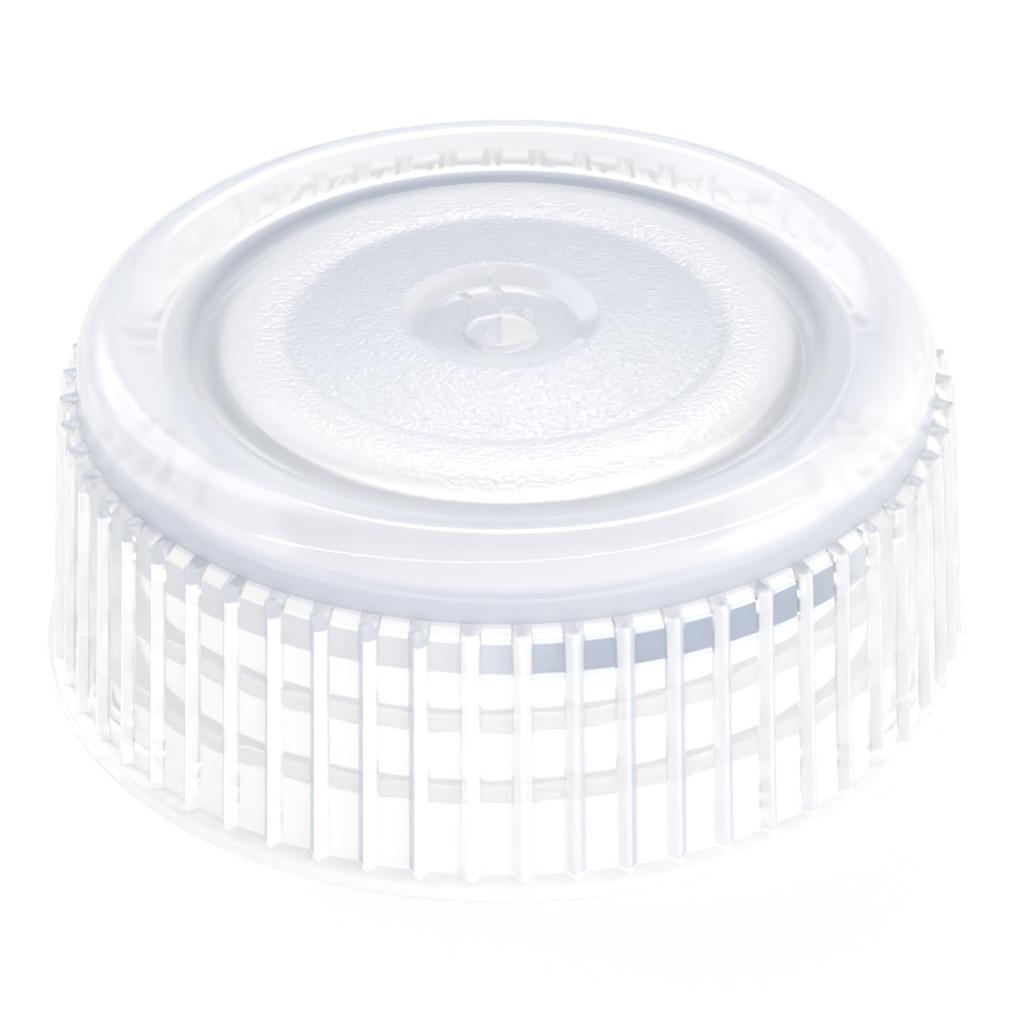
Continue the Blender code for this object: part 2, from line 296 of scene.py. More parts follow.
def crown_profile(s):
    """The top from the well's middle over the disc, the valley and the raised ring to the shoulder's foot."""
    well_rim = disc_height(s, s.well_radius)
    well_floor = well_rim - s.well_depth
    floor_radius = s.well_radius - 1.15 * MM
    points = [(r * MM, well_floor) for r in np.linspace(0.1, 3.2, 48)]
    points += slope((3.2 * MM, well_floor), (floor_radius, well_floor + 0.05 * MM), 6)
    points += straight(points[-1], (s.well_radius - 0.1 * MM, well_rim - 0.06 * MM), 8)
    points += [(s.well_radius + 0.08 * MM, disc_height(s, s.well_radius + 0.08 * MM))]
    for radius in np.linspace(s.well_radius + 0.35 * MM, s.disc_radius - 0.4 * MM, 16):
        points.append((radius, disc_height(s, radius)))

    # A fine step, a flat band and the S-shaped sides of the valley
    ring_radius = s.shoulder_radius - s.edge_radius
    ring_top = s.skirt_height + SHOULDER_RISE + s.edge_radius
    valley_floor = valley_height(s)
    band_top = valley_floor + BAND_RISE
    points += slope(points[-1], (s.disc_radius + 0.55 * MM, band_top), 8)
    points += straight(points[-1], (s.disc_radius + 1.3 * MM, band_top), 5)
    points += slope(points[-1], (s.valley_radius, valley_floor), 14)
    points += slope(points[-1], (ring_radius, ring_top), 14)
    points += arc((ring_radius, ring_top - s.edge_radius), s.edge_radius, 90, 0, 16)[1:]
    points += straight(points[-1], (s.shoulder_radius, s.skirt_height + 0.15 * MM), 4)
    return points


def skirt_profiles(s):
    """The outside of the skirt, once down a groove and once down a rib's crest, with as many points each."""
    foot = s.bore_radius + s.skirt_wall
    top = foot - s.skirt_draft
    ledge_foot = s.rim_height + 0.3 * MM
    shoulder = (s.shoulder_radius, s.skirt_height)

    # Top rows of a groove and of a crest: inset from the groove's wall or the crest, and drop from the ledge
    groove = [shoulder]
    for inset, drop in ((0.32, 0.3), (0.03, 0.6), (0.0, 0.68), (-0.01, 0.8), (-0.02, 1.1)):
        groove.append((top - inset * MM, s.skirt_height - drop * MM))
    groove += straight(groove[-1], (foot - 0.01 * MM, ledge_foot + 0.15 * MM), 8)
    groove += [(foot + 0.03 * MM, ledge_foot + 0.01 * MM)]

    crest_top = top + s.rib_height
    crest_foot = foot + s.rib_height
    crest = [shoulder]
    for inset, drop in ((0.1, 0.01), (-0.2, 0.03)):
        crest.append((top - inset * MM, s.skirt_height - drop * MM))
    for inset, drop in ((0.17, 0.12), (0.07, 0.35), (0.0, 0.85)):
        crest.append((crest_top - inset * MM, s.skirt_height - drop * MM))
    crest += straight(crest[-1], (crest_foot, s.rim_height + 0.22 * MM), 8)
    crest += [(crest_foot + 0.02 * MM, s.rim_height + 0.15 * MM)]
    return groove, crest


def rim_profile(s):
    """The plain band, the flat rim that the cap stands on and the lead-in of the bore."""
    points = [(RIM_RADIUS - 0.12 * MM, s.rim_height + 0.03 * MM)]
    points += [(RIM_RADIUS - 0.02 * MM, s.rim_height - 0.08 * MM)]
    points += [(RIM_RADIUS, s.rim_height - 0.25 * MM), (RIM_RADIUS - 0.02 * MM, 0.2 * MM)]
    points += arc((RIM_RADIUS - 0.17 * MM, 0.15 * MM), 0.15 * MM, 0, -90, 3)
    points += straight(points[-1], (s.bore_radius + 0.6 * MM, 0.0), 3)
    points += arc((s.bore_radius + 0.6 * MM, 0.1 * MM), 0.1 * MM, -90, -135, 2)[1:]
    points += [(s.bore_radius + 0.03 * MM, 0.56 * MM)]
    return points


def bore_profile(s):
    """The bore's wall, with rows close enough for the thread that is raised from it."""
    return [(s.bore_radius, z * MM) for z in np.arange(BORE_FOOT, BORE_TOP, BORE_ROW)]


def ceiling_profile(s):
    """The step above the thread, the ceiling, the plug ring and the underside of the disc."""
    upper = s.shoulder_radius - UPPER_BORE_INSET
    ceiling = valley_height(s) - PANEL_WALL
    fillet = 0.8 * MM
    step = [(s.bore_radius - 0.02 * MM, CONE_FOOT), (s.bore_radius - 0.12 * MM, CONE_FOOT + 0.12 * MM)]
    step += straight(step[-1], (upper + 0.1 * MM, CONE_TOP - 0.15 * MM), 8)
    step += [(upper, CONE_TOP)] + straight((upper, CONE_TOP), (upper, ceiling - fillet), 4)
    step += arc((upper - fillet, ceiling - fillet), fillet, 0, 90, 6)[1:]

    plug = upper - CHANNEL_WIDTH
    tip = ceiling - PLUG_LENGTH
    ring = [(plug + 0.25 * MM, ceiling), (plug + 0.06 * MM, ceiling - 0.07 * MM)]
    ring += [(plug - 0.01 * MM, ceiling - 0.25 * MM)]
    ring += straight(ring[-1], (plug - 0.35 * MM, tip), 6)
    ring += arc((plug - 0.85 * MM, tip), 0.5 * MM, 0, -180, 12)[1:]
    ring += straight(ring[-1], (plug - 1.68 * MM, ceiling - 0.3 * MM), 6)
    ring += [(plug - 1.76 * MM, ceiling - 0.08 * MM), (plug - 1.95 * MM, ceiling + 0.01 * MM)]

    disc_edge = disc_height(s, s.disc_radius) - PANEL_WALL
    ring += slope(ring[-1], (s.disc_radius + 0.4 * MM, disc_edge - 0.03 * MM), 8)
    for radius in np.linspace(s.disc_radius - 0.2 * MM, 0.4 * MM, 18):
        ring.append((radius, disc_height(s, radius) - PANEL_WALL))
    return step + ring


def rib_columns(s):
    """Angles across one wedge, and the share of rib at each, with close pairs that round the rib's edges."""
    half_pitch = math.pi / s.rib_count
    radius = s.bore_radius + s.skirt_wall
    crest, root = s.rib_crest / 2, s.rib_root / 2
    flank = root - crest
    marks = [
        (0.0, 1.0), (crest - 0.03 * MM, 1.0), (crest + 0.02 * MM, 0.97),
        (root - 0.06 * MM, 0.06 * MM / flank), (root + 0.03 * MM, 0.0), (0.62 * half_pitch * radius, 0.0),
    ]
    right = [(offset / radius, rib) for offset, rib in marks] + [(half_pitch, 0.0)]
    left = [(-angle, rib) for angle, rib in reversed(right[1:])]
    return left + right


def join_rows(bm, upper, lower):
    """Fill the strip between two rows of vertices, given with their angles; their counts may differ."""
    i = j = 0
    while i < len(upper) - 1 or j < len(lower) - 1:
        both = i < len(upper) - 1 and j < len(lower) - 1
        if both and abs(upper[i + 1][0] - lower[j + 1][0]) < SAME_ANGLE:
            bm.faces.new((upper[i][1], lower[j][1], lower[j + 1][1], upper[i + 1][1]))
            i, j = i + 1, j + 1
        elif j == len(lower) - 1 or (both and upper[i + 1][0] < lower[j + 1][0]):
            bm.faces.new((upper[i][1], lower[j][1], upper[i + 1][1]))
            i += 1
        else:
            bm.faces.new((upper[i][1], lower[j][1], lower[j + 1][1]))
            j += 1


def wedge_mesh(s):
    """One rib's share of the whole cap, open at both sides, with its bore rows marked for the thread."""
    half_pitch = math.pi / s.rib_count
    plain = [(angle, 0.0) for angle in np.linspace(-half_pitch, half_pitch, PLAIN_COLUMNS)]
    ribbed = rib_columns(s)
    groove, crest = skirt_profiles(s)
    bore = bore_profile(s)
    bands = [
        (crown_profile(s), None, plain, 0.0),
        (groove, crest, ribbed, 0.0),
        (rim_profile(s), None, plain, 0.0),
        (bore, None, plain, 1.0),
        (ceiling_profile(s), None, plain, 0.0),
    ]

    bm = bmesh.new()
    bore_mark = bm.verts.layers.float.new("bore_wall")
    rows = []
    for profile, rib_profile, columns, mark in bands:
        for index, (radius, height) in enumerate(profile):
            rib_radius, rib_height = rib_profile[index] if rib_profile else (radius, height)
            row = []
            for angle, rib in columns:
                if rib_profile and index < len(RIB_TOP_POWERS):
                    rib = rib ** RIB_TOP_POWERS[index]
                r = radius + (rib_radius - radius) * rib
                z = height + (rib_height - height) * rib
                vert = bm.verts.new((r * math.cos(angle), r * math.sin(angle), z))
                vert[bore_mark] = mark
                row.append((angle, vert))
            rows.append(row)
    for upper, lower in zip(rows, rows[1:]):
        join_rows(bm, upper, lower)

    # The wedge closes on the axis above and below
    for row, towards_axis in ((rows[0], True), (rows[-1], False)):
        pole = bm.verts.new((0.0, 0.0, row[0][1].co.z))
        for (_, a), (_, b) in zip(row, row[1:]):
            bm.faces.new((pole, a, b) if towards_axis else (pole, b, a))
    mesh = bpy.data.meshes.new("cap_wedge")
    bm.to_mesh(mesh)
    bm.free()
    return mesh


def cap_tree():
    """Geometry Nodes: wedges round the axis, welded to one body, with the thread raised on the bore."""
    tree = bpy.data.node_groups.new("ribs_and_thread", "GeometryNodeTree")
    face = tree.interface
    face.new_socket("Geometry", in_out="OUTPUT", socket_type="NodeSocketGeometry")
    face.new_socket("Geometry", in_out="INPUT", socket_type="NodeSocketGeometry")
    face.new_socket("Rib Count", in_out="INPUT", socket_type="NodeSocketInt")
    for name in (
        "Rib Phase", "Thread Pitch", "Thread Depth", "Thread Start Height", "Thread Start Angle",
        "Thread Turns", "Fade Turns", "Half Crest", "Half Root", "Weld Distance",
    ):
        face.new_socket(name, in_out="INPUT", socket_type="NodeSocketFloat")
    face.new_socket("Material", in_out="INPUT", socket_type="NodeSocketMaterial")
    known = dict(add_node(tree, "NodeGroupInput").outputs.items())
    known["index"] = add_node(tree, "GeometryNodeInputIndex").outputs["Index"]
    known["place"] = add_node(tree, "GeometryNodeInputPosition").outputs[0]

    # One wedge for each rib, turned about the axis
    add_steps(tree, known, (
        ("step", "DIVIDE", 2 * math.pi, "Rib Count"),
        ("turn", "MULTIPLY", "index", "step"),
        ("turn", "ADD", "turn", "Rib Phase"),
        ("about axis", "vector", 0.0, 0.0, "turn"),
    ))
    points = add_node(tree, "GeometryNodePoints", inputs={"Count": known["Rib Count"]})
    wedges = add_node(
        tree, "GeometryNodeInstanceOnPoints",
        inputs={"Points": points.outputs[0], "Instance": known["Geometry"], "Rotation": known["about axis"]},
    )
    loose = add_node(tree, "GeometryNodeRealizeInstances", inputs={"Geometry": wedges.outputs[0]})
    welded = add_node(
        tree, "GeometryNodeMergeByDistance",
        inputs={"Geometry": loose.outputs[0], "Distance": known["Weld Distance"]},
    )

    # Which turn of the thread is nearest to a point of the bore, how far above or below it lies and how far
    # along the thread it is from the nearer end
    add_steps(tree, known, (
        ("x", "x of", "place"),
        ("y", "y of", "place"),
        ("z", "z of", "place"),
        ("bearing", "ARCTAN2", "y", "x"),
        ("bearing", "SUBTRACT", "bearing", "Thread Start Angle"),
        ("turned", "DIVIDE", "bearing", 2 * math.pi),
        ("phase", "FRACT", "turned"),
        ("height", "SUBTRACT", "z", "Thread Start Height"),
        ("climbed", "DIVIDE", "height", "Thread Pitch"),
        ("climbed", "SUBTRACT", "climbed", "phase"),
        ("whole", "ROUND", "climbed"),
        ("beside", "SUBTRACT", "climbed", "whole"),
        ("beside", "MULTIPLY", "beside", "Thread Pitch"),
        ("beside", "ABSOLUTE", "beside"),
        ("along", "ADD", "phase", "whole"),
        ("to end", "SUBTRACT", "Thread Turns", "along"),
        ("from end", "MINIMUM", "along", "to end"),
    ))

    # Rounded trapezoid section that fades at both ends and is raised towards the axis
    add_steps(tree, known, (
        ("section", "mask", "beside", "Half Root", "Half Crest"),
        ("fade", "mask", "from end", 0.0, "Fade Turns"),
        ("ridge", "MULTIPLY", "section", "fade"),
        ("ridge", "MULTIPLY", "ridge", "Thread Depth"),
        ("level", "stretch", "place", (1.0, 1.0, 0.0)),
        ("radius", "length", "level"),
        ("inward", "DIVIDE", "ridge", "radius"),
        ("inward", "MULTIPLY", "inward", -1.0),
    ))
    shift = add_node(
        tree, "ShaderNodeVectorMath", {"operation": "SCALE"}, {0: known["level"], "Scale": known["inward"]}
    )
    mark = add_node(tree, "GeometryNodeInputNamedAttribute", {"data_type": "FLOAT"}, {"Name": "bore_wall"})
    on_bore = add_node(
        tree, "FunctionNodeCompare", {"data_type": "FLOAT", "operation": "GREATER_THAN"},
        {"A": mark.outputs[0], "B": 0.5},
    )
    threaded = add_node(
        tree, "GeometryNodeSetPosition",
        inputs={"Geometry": welded.outputs[0], "Selection": on_bore.outputs[0], "Offset": shift.outputs[0]},
    )
    solid = add_node(tree, "GeometryNodeRealizeInstances", inputs={"Geometry": threaded.outputs[0]})
    coloured = add_node(
        tree, "GeometryNodeSetMaterial", inputs={"Geometry": solid.outputs[0], "Material": known["Material"]}
    )
    add_node(tree, "NodeGroupOutput", inputs={0: coloured.outputs[0]})
    return tree


def set_inputs(modifier, values):
    """Set a Geometry Nodes modifier's inputs by their identifiers."""
    for item in modifier.node_group.interface.items_tree:
        if item.item_type == "SOCKET" and item.in_out == "INPUT" and item.name in values:
            modifier[item.identifier] = values[item.name]


def evaluated_mesh(body, name):
    """The object's mesh with its modifiers applied, under a new name."""
    depsgraph = bpy.context.evaluated_depsgraph_get()
    mesh = bpy.data.meshes.new_from_object(body.evaluated_get(depsgraph))
    mesh.name = name
    return mesh


def smooth_step(values, low, high):
    """0 below low, 1 above high and smooth between, also with low above high."""
    run = np.clip((values - low) / (high - low), 0.0, 1.0)
    return run * run * (3 - 2 * run)


# Fine ridges in the gate well as lines of points, in millimetres from the pad's middle
GATE_RIDGES = (
    ((-0.45, 5.6), (-0.35, 4.9), (-0.11, 4.15), (-0.89, 3.85), (-1.46, 3.56), (-1.33, 3.2), (-1.33, 1.75)),
    ((-1.46, 3.56), (-1.88, 3.97)),
)

# The oval loop behind the pad, measured likewise: its middle, its half widths and its mean radius
LOOP_X, LOOP_Y = 0.67, 1.95
LOOP_HALF_WIDTH, LOOP_HALF_DEPTH = 0.75, 0.62
LOOP_RADIUS = 0.68

# Heights in millimetres of the pad, of its raised edge, of the drop to its left half, of the small ring on
# that half, of the loop and of the ridges, and where the pad's edge lies as a share of its half width
PAD_HEIGHT = 0.34
PAD_EDGE = 0.07
LEFT_DROP = 0.16
RING_HEIGHT = 0.1
LOOP_HEIGHT = 0.2
RIDGE_HEIGHT = 0.22
EDGE_SHARE = 0.86


def loop_distance(x, y):
    """Distance from the oval loop behind the pad, in millimetres."""
    oval = np.hypot((x - LOOP_X) / LOOP_HALF_WIDTH, (y - LOOP_Y) / LOOP_HALF_DEPTH)
    return np.abs(oval - 1.0) * LOOP_RADIUS


def bead(distance, width):
    """A rounded bead: 1 on its line and falling off over its width."""
    return np.exp(-(distance / width) ** 2)


def path_distance(x, y, lines):
    """Distance from the nearest of some lines of points, in millimetres."""
    nearest = np.full(x.shape, np.inf)
    for points in lines:
        for (x0, y0), (x1, y1) in zip(points, points[1:]):
            dx, dy = x1 - x0, y1 - y0
            along = np.clip(((x - x0) * dx + (y - y0) * dy) / (dx * dx + dy * dy), 0.0, 1.0)
            nearest = np.minimum(nearest, np.hypot(x - x0 - along * dx, y - y0 - along * dy))
    return nearest


def shape_gate(s, mesh):
    """Move the well off the axis and raise the torn sprue's pad from its floor."""
    co = np.empty(len(mesh.vertices) * 3)
    mesh.vertices.foreach_get("co", co)
    co = co.reshape(-1, 3)
    radius = np.hypot(co[:, 0], co[:, 1])
    well_floor = disc_height(s, s.well_radius) - s.well_depth
    top = co[:, 2] > well_floor - 0.01 * MM
    near = smooth_step(radius, STILL_RADIUS, MOVED_RADIUS)

    x, y = co[:, 0] / MM, co[:, 1] / MM + PAD_SHIFT
    pad = np.hypot(x / PAD_HALF_WIDTH, y / PAD_HALF_DEPTH)
    lift = PAD_HEIGHT * smooth_step(pad, 1.0, EDGE_SHARE) + PAD_EDGE * bead(pad - EDGE_SHARE, 0.07)
    lift -= LEFT_DROP * smooth_step(x, 0.1, -0.1) * smooth_step(pad, 0.85, 0.7)
    lift += RING_HEIGHT * bead(np.hypot(x + 0.1, y + 0.1) - 0.5, 0.1) * smooth_step(x, 0.05, -0.15)
    lift = np.maximum(lift, LOOP_HEIGHT * bead(loop_distance(x, y), 0.16))
    lift = np.maximum(lift, RIDGE_HEIGHT * bead(path_distance(x, y, GATE_RIDGES), 0.11))
    co[:, 2] += np.where(top & (radius < GATE_REACH), lift * MM, 0.0)
    co[:, 0] -= np.where(top, WELL_SHIFT * MM * near, 0.0)
    mesh.vertices.foreach_set("co", co.ravel())
    mesh.update()


def finish_mesh(mesh):
    """Point the faces outwards and shade smooth between sharp edges."""
    bm = bmesh.new()
    bm.from_mesh(mesh)
    bmesh.ops.recalc_face_normals(bm, faces=bm.faces[:])
    open_edges = sum(1 for edge in bm.edges if len(edge.link_faces) != 2)
    bm.to_mesh(mesh)
    bm.free()
    if open_edges:
        raise RuntimeError(f"{mesh.name} has {open_edges} edges that don't join two faces")
    mesh.shade_smooth()
    mesh.set_sharp_from_angle(angle=SHARP_ANGLE)


def natural_polypropylene(s, finish):
    """Natural polypropylene, injection moulded: unfilled and colourless, so it is clear where the wall is
    thin and polished, and milky where it is thick. The centre disc is grained like the mould insert that
    formed it."""
    material = bpy.data.materials.new("natural_polypropylene_moulded")
    material.use_nodes = True
    tree = material.node_tree
    shader = tree.nodes["Principled BSDF"]
    shader.inputs["IOR"].default_value = POLYPROPYLENE_IOR
    place = add_node(tree, "ShaderNodeTexCoord").outputs["Object"]
    geometry = add_node(tree, "ShaderNodeNewGeometry").outputs
    known = {"place": place, "normal": geometry["Normal"], "backfacing": geometry["Backfacing"]}

    # Measures: distances from the axis, from the well's middle and from the pad's, the bearing round the cap,
    # how far a face turns sideways, and the radius that a place would have at the rim along the grooves' cone
    top = s.skirt_height
    draft = s.skirt_draft / (s.skirt_height - s.rim_height)
    foot = s.bore_radius + s.skirt_wall + draft * s.rim_height
    pad_scale = (1 / (PAD_HALF_WIDTH * MM), 1 / (PAD_HALF_DEPTH * MM), 0)
    pad_shift = (WELL_SHIFT / PAD_HALF_WIDTH, PAD_SHIFT / PAD_HALF_DEPTH, 0)
    add_steps(tree, known, (
        ("level", "stretch", "place", (1, 1, 0)),
        ("radius", "length", "level"),
        ("from well", "distance", "level", (-WELL_SHIFT * MM, 0, 0)),
        ("sideways", "x of", "place"),
        ("height", "z of", "place"),
        ("around", "direction", "level"),
        ("right", "x of", "around"),
        ("back", "y of", "around"),
        ("cone", "MULTIPLY_ADD", "height", draft, "radius"),
        ("turned", "cross", "around", "normal"),
        ("turned", "z of", "turned"),
        ("turned", "MULTIPLY", "turned", "right"),
        ("on pad", "stretch", "place", pad_scale, pad_shift),
        ("from pad", "length", "on pad"),
        ("pad right", "x of", "on pad"),
    ))

    # The skirt: its thicker ribs and rim, and the dark windows at the groove tops on the front right. There
    # the wall is made clearer, so that the eye looks through it into the cap, and painted shade gives it the
    # inside's blue
    add_steps(tree, known, (
        ("rib", "mask", "cone", foot + 0.02 * MM, foot + 0.12 * MM),
        ("rim", "mask", "height", s.rim_height + 0.5 * MM, s.rim_height + 0.3 * MM),
        ("thick", "MAXIMUM", "rib", "rim"),
        ("rib alone", "SUBTRACT", "thick", "rim"),
        ("crown", "mask", "height", top - 0.1 * MM, top + 0.3 * MM),
        ("above thread", "mask", "height", 12.5 * MM, 12.8 * MM),
        ("below ledge", "mask", "height", top - 0.45 * MM, top - 0.55 * MM),
        ("on right", "mask", "right", -0.15, 0.2),
        ("in front", "mask", "back", -0.6, -0.75),
        ("window", "MULTIPLY", "on right", "in front"),
        ("groove top", "MULTIPLY", "above thread", "below ledge"),
        ("window", "MULTIPLY", "window", "groove top"),
        ("skirt clear", "blend", "window", finish.clear_wall, finish.clear_step),
        ("skirt clear", "blend", "thick", "skirt clear", finish.clear_rib),
    ))

    # The crown is milky in its outer ring, and underneath in the ring between disc and valley. The valley is
    # clear, less so in front, and the well is clearer on its left, which looks darker there
    add_steps(tree, known, (
        ("outer ring", "mask", "radius", 16.9 * MM, 18.8 * MM),
        ("past disc", "mask", "radius", 11.2 * MM, 11.9 * MM),
        ("before valley", "mask", "radius", 15.4 * MM, 14.3 * MM),
        ("inner ring", "MULTIPLY", "past disc", "before valley"),
        ("milky", "MULTIPLY_ADD", "inner ring", 0.5, "outer ring"),
        ("valley inside", "mask", "radius", 13.6 * MM, 14.8 * MM),
        ("valley outside", "mask", "radius", 17.2 * MM, 15.9 * MM),
        ("valley", "MULTIPLY", "valley inside", "valley outside"),
        ("off front", "mask", "back", -0.5, 0.8),
        ("off front", "blend", "off front", 0.62, 1.0),
        ("valley", "MULTIPLY", "valley", "off front"),
        ("well", "mask", "from well", s.well_radius - 0.2 * MM, s.well_radius - 0.9 * MM),
        ("well right", "mask", "sideways", -4.4 * MM, -0.4 * MM),
        ("well clear", "blend", "well right", finish.clear_well, finish.clear_wall),
        ("crown clear", "blend", "valley", finish.clear_thin, finish.clear_valley),
        ("crown clear", "blend", "milky", "crown clear", finish.clear_thick),
        ("crown clear", "blend", "well", "crown clear", "well clear"),
    ))

    # Seen from inside the cap, its walls are milky. The scattering is counted where light goes in. Light that
    # is already inside the wall comes out whole again, but for the thread and the ring under the crown,
    # which show milky through the wall
    add_steps(tree, known, (
        ("underside", "mask", "height", 18.5 * MM, 18.3 * MM),
        ("inside bore", "mask", "radius", s.bore_radius + 0.3 * MM, s.bore_radius + 0.1 * MM),
        ("facing in", "MULTIPLY", "underside", "inside bore"),
        ("clear", "blend", "crown", "skirt clear", "crown clear"),
        ("clear", "blend", "facing in", "clear", finish.clear_inside),
        ("ridge", "mask", "radius", s.bore_radius - 0.02 * MM, s.bore_radius - 0.15 * MM),
        ("below cone", "mask", "height", CONE_FOOT, CONE_FOOT - 0.2 * MM),
        ("thread", "MULTIPLY", "ridge", "below cone"),
        ("under ring", "MULTIPLY", "inner ring", "underside"),
        ("thick inside", "MAXIMUM", "thread", "under ring"),
        ("through", "blend", "under ring", 1.0, finish.clear_underside),
        ("through", "blend", "thread", "through", finish.clear_thread),
        ("leaving", "MULTIPLY", "backfacing", "through"),
        ("passing", "MAXIMUM", "clear", "leaving"),
    ))

    # Painted shade: the strip of the shoulder's upright band and of the ribs' tops on the front left is
    # painted blue-grey
    add_steps(tree, known, (
        ("rib top", "mask", "height", top - 1.0 * MM, top - 0.9 * MM),
        ("rib top", "MULTIPLY", "rib top", "rib"),
        ("on left", "mask", "right", -0.09, -0.17),
        ("left front", "mask", "back", -0.2, -0.45),
        ("left front", "MULTIPLY", "on left", "left front"),
        ("rib top", "MULTIPLY", "rib top", "left front"),
        ("ledge", "mask", "height", top - 0.18 * MM, top - 0.08 * MM),
        ("strip", "MAXIMUM", "rib top", "ledge"),
        ("below arc", "mask", "height", top + 2.3 * MM, top + 1.6 * MM),
        ("strip", "MULTIPLY", "strip", "below arc"),
    ))

    # The torn face of the gate's pad is dry and cream on its right half
    add_steps(tree, known, (
        ("pad", "mask", "from pad", 0.9, 0.8),
        ("torn half", "mask", "pad right", 0.0, 0.05),
        ("torn", "MULTIPLY", "pad", "torn half"),
        ("torn", "MULTIPLY", "torn", "crown"),
    ))

    # Tones of the scattered light, laid over one another: the disc bluish, the outer ring greyer, and painted
    # light and shade: ribs whiter on the left than on the right, darker lines on the flanks that turn away
    add_steps(tree, known, (
        ("disc glow", "mask", "radius", s.disc_radius + 2.4 * MM, s.disc_radius - 1.2 * MM),
        ("disc glow", "MULTIPLY", "disc glow", "crown"),
        ("outer glow", "MULTIPLY", "outer ring", "crown"),
        # Painted light and shade on the ribs: a whiter tone on the left half, a greyer one on the right half
        ("flank", "mask", "turned", 0.06, 0.14),
        ("rib tone", "tint", "on right", finish.rim_and_lit_rib_white, finish.rib_shaded_right),
        # Painted shade: a darker line on each rib flank that turns away from the middle
        ("rib tone", "tint", "flank", "rib tone", finish.rib_far_flank_shade),
        ("outside", "tint", "disc glow", finish.milk, finish.disc_milk),
        ("outside", "tint", "outer glow", "outside", finish.thick_milk),
        # Painted shade: the groove tops on the front right take the inside's dark blue
        ("outside", "tint", "window", "outside", finish.inside),
        ("outside", "tint", "rib alone", "outside", "rib tone"),
        ("outside", "tint", "rim", "outside", finish.rim_and_lit_rib_white),
        # Painted blue-grey shade on the shoulder band and the front-left rib tops
        ("outside", "tint", "strip", "outside", finish.shoulder_band_shade),
        ("outside", "tint", "torn", "outside", finish.torn),
        # Painted shade: the walls facing the inside are a darker blue than the plastic; the thread and the
        # ring under the crown keep the clear colour
        ("inside", "tint", "thick inside", finish.inside, finish.clear),
        ("scattered", "tint", "facing in", "outside", "inside"),
        ("passed", "tint", "crown", finish.clear, finish.clear_crown),
        ("base colour", "tint", "passing", "scattered", "passed"),
    ))

    # Polished skirt and well, satin crown and grained disc
    add_steps(tree, known, (
        ("polished well", "mask", "from well", s.well_radius + 0.1 * MM, s.well_radius - 0.2 * MM),
        ("disc", "mask", "radius", s.disc_radius + 0.2 * MM, s.disc_radius - 0.2 * MM),
        ("crown rough", "blend", "disc", finish.satin, finish.disc_satin),
        ("crown rough", "blend", "polished well", "crown rough", finish.polish),
        ("rough", "blend", "crown", finish.polish, "crown rough"),
        ("under crown", "mask", "radius", 18.9 * MM, 18.4 * MM),
        ("under crown", "MULTIPLY", "underside", "under crown"),
        ("rough", "blend", "under crown", "rough", finish.under_satin),
    ))
    fed = {"Transmission Weight": "passing", "Base Color": "base colour", "Roughness": "rough"}
    for socket, name in fed.items():
        tree.links.new(known[name], shader.inputs[socket])

    # Grain of the disc, which fades out past its edge and breaks up the reflections there
    add_steps(tree, known, (
        ("grained", "mask", "radius", s.valley_radius, s.disc_radius),
        ("off well", "mask", "polished well", 1.0, 0.0),
        ("grain share", "MULTIPLY", "grained", "off well"),
    ))
    grain = add_node(
        tree, "ShaderNodeTexNoise", inputs={"Vector": place, "Scale": 1 / finish.grain_size, "Detail": 1.0}
    ).outputs[0]
    bump = add_node(
        tree, "ShaderNodeBump",
        inputs={"Height": grain, "Strength": known["grain share"], "Distance": finish.grain_height},
    )
    tree.links.new(bump.outputs[0], shader.inputs["Normal"])
    return material


def body_object(name, mesh, material):
    """A finished piece at the origin, in the cap's colour and on the cap's body."""
    mesh.materials.clear()
    mesh.materials.append(material)
    piece = bpy.data.objects.new(name, mesh)
    bpy.context.scene.collection.objects.link(piece)
    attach(piece, "root")
    return piece


class SCREWCAP_OT_body(Operator):
    """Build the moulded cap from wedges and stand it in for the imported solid"""

    bl_idname = "screwcap.body"
    bl_label = "Cap body"

    def execute(self, context):
        s = context.scene.screwcap_sizes
        material = natural_polypropylene(s, context.scene.screwcap_finish)
        builder = bpy.data.objects.new("cap_wedges", wedge_mesh(s))
        context.scene.collection.objects.link(builder)
        modifier = builder.modifiers.new("ribs_and_thread", "NODES")
        modifier.node_group = cap_tree()
        set_inputs(modifier, {
            "Rib Count": s.rib_count, "Rib Phase": s.rib_phase, "Thread Pitch": s.thread_pitch,
            "Thread Depth": s.thread_depth, "Thread Start Height": s.thread_start,
            "Thread Start Angle": THREAD_START_ANGLE + s.rib_phase, "Thread Turns": s.thread_turns,
            "Fade Turns": THREAD_FADE, "Half Crest": THREAD_HALF_CREST, "Half Root": THREAD_HALF_ROOT,
            "Weld Distance": WELD_DISTANCE, "Material": material,
        })
        mesh = evaluated_mesh(builder, "cap_body")
        bpy.data.objects.remove(builder)
        shape_gate(s, mesh)
        finish_mesh(mesh)
        piece = body_object("cap_body", mesh, material)
        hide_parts("screw_cap")
        return {"FINISHED"}


class SCREWCAP_OT_stage(Operator):
    """Set the white floor, the studio's surroundings with their lights, and the camera"""

    bl_idname = "screwcap.stage"
    bl_label = "Stage"

    def execute(self, context):
        look = context.scene.screwcap_stage
        build_floor(look)
        build_world(look)
        build_camera(context.scene)
        context.scene.view_settings.view_transform = "Standard"
        return {"FINISHED"}


# Half width of the floor, how far it lies under the rim, and how much of it glows where the eye sees it
FLOOR_HALF_WIDTH = 3.0
FLOOR_DROP = 0.02 * MM
FLOOR_GLOW = 0.85


